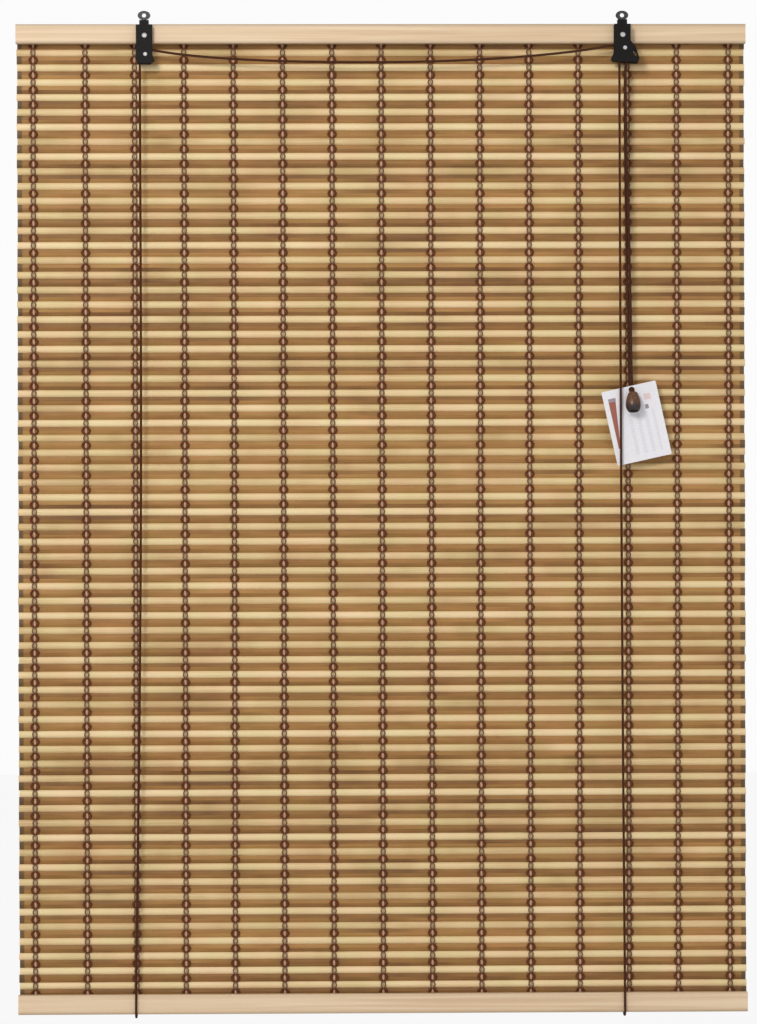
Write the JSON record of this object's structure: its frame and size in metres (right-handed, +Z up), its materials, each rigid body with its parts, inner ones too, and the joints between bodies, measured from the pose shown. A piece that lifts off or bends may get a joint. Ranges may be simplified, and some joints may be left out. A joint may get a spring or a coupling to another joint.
{
  "type": "bamboo roll up blind",
  "caption": "Roll up window blind: a woven mat of light and dark bamboo slats between two wooden rails, with two hanging eyes, lift cords, a cord lock, a pull knob and a hang tag.",
  "frame": {"origin": "on the line through the two hanging eyes' holes, midway across the blind", "axes": "+X to the right seen from the room, -Y into the room, +Z up"},
  "size_m": [0.9, 0.0447, 1.2404],
  "materials": {
    "rail_wood": "satin varnish on pale wood",
    "bamboo": "light and dark stained bamboo in turn",
    "warp_yarn": "twisted yarn",
    "staple_steel": "plain wire",
    "bracket_black": "black enamel",
    "eye_steel": "bright plated",
    "bright_steel": "bright plated",
    "pulley_plastic": "moulded",
    "roller_brass": "ridged",
    "cord": "braided",
    "knob_wood": "dark stained and varnished",
    "tag_card": "coated card"
  },
  "bodies": {
    "blind": {"head_rail": "rail_wood", "bottom_rail": "rail_wood", "bamboo_mat": "bamboo", "head_staples": "staple_steel", "bottom_staples": "staple_steel", "cord_staples": "staple_steel", "left_bracket": "bracket_black", "lock_housing": "bracket_black", "bracket_screws": "bright_steel", "axle_rivets": "bright_steel", "spacer_tubes": "bright_steel", "left_cord": "cord", "right_cord": "cord", "end_knots": "cord", "pull_knot": "cord", "pull_knob": "knob_wood", "hang_tag": "tag_card", "warp_01": "warp_yarn", "warp_02": "warp_yarn", "warp_03": "warp_yarn", "warp_04": "warp_yarn", "warp_05": "warp_yarn", "warp_06": "warp_yarn", "warp_07": "warp_yarn", "warp_08": "warp_yarn", "warp_09": "warp_yarn", "warp_10": "warp_yarn", "warp_11": "warp_yarn", "warp_12": "warp_yarn", "warp_13": "warp_yarn", "warp_14": "warp_yarn", "warp_15": "warp_yarn"},
    "left_eye": {"left_eye": "eye_steel"},
    "right_eye": {"right_eye": "eye_steel"},
    "left_pulley": {"left_pulley": "pulley_plastic"},
    "lock_pulley_rear": {"lock_pulley_rear": "pulley_plastic"},
    "lock_pulley_front": {"lock_pulley_front": "pulley_plastic"},
    "lock_roller": {"lock_roller": "roller_brass"}
  },
  "joints": [
    {"name": "left_eye_swivel", "type": "hinge", "parent": "blind", "child": "left_eye", "pos_m": [-0.2917, 0, 0], "axis": [0, 0, 1], "continuous": true},
    {"name": "right_eye_swivel", "type": "hinge", "parent": "blind", "child": "right_eye", "pos_m": [0.2969, 0, 0], "axis": [0, 0, 1], "continuous": true},
    {"name": "left_pulley_spin", "type": "hinge", "parent": "blind", "child": "left_pulley", "pos_m": [-0.2903, 0, -0.0477], "axis": [0, 1, 0], "continuous": true},
    {"name": "lock_pulley_rear_spin", "type": "hinge", "parent": "blind", "child": "lock_pulley_rear", "pos_m": [0.3001, 0, -0.0407], "axis": [0, 1, 0], "continuous": true},
    {"name": "lock_pulley_front_spin", "type": "hinge", "parent": "blind", "child": "lock_pulley_front", "pos_m": [0.3001, -0.005, -0.0407], "axis": [0, 1, 0], "continuous": true},
    {"name": "lock_roller_slide", "type": "slide", "parent": "blind", "child": "lock_roller", "axis": [-0.3746, 0, 0.9272], "range_m": [0, 0.0055]}
  ]
}
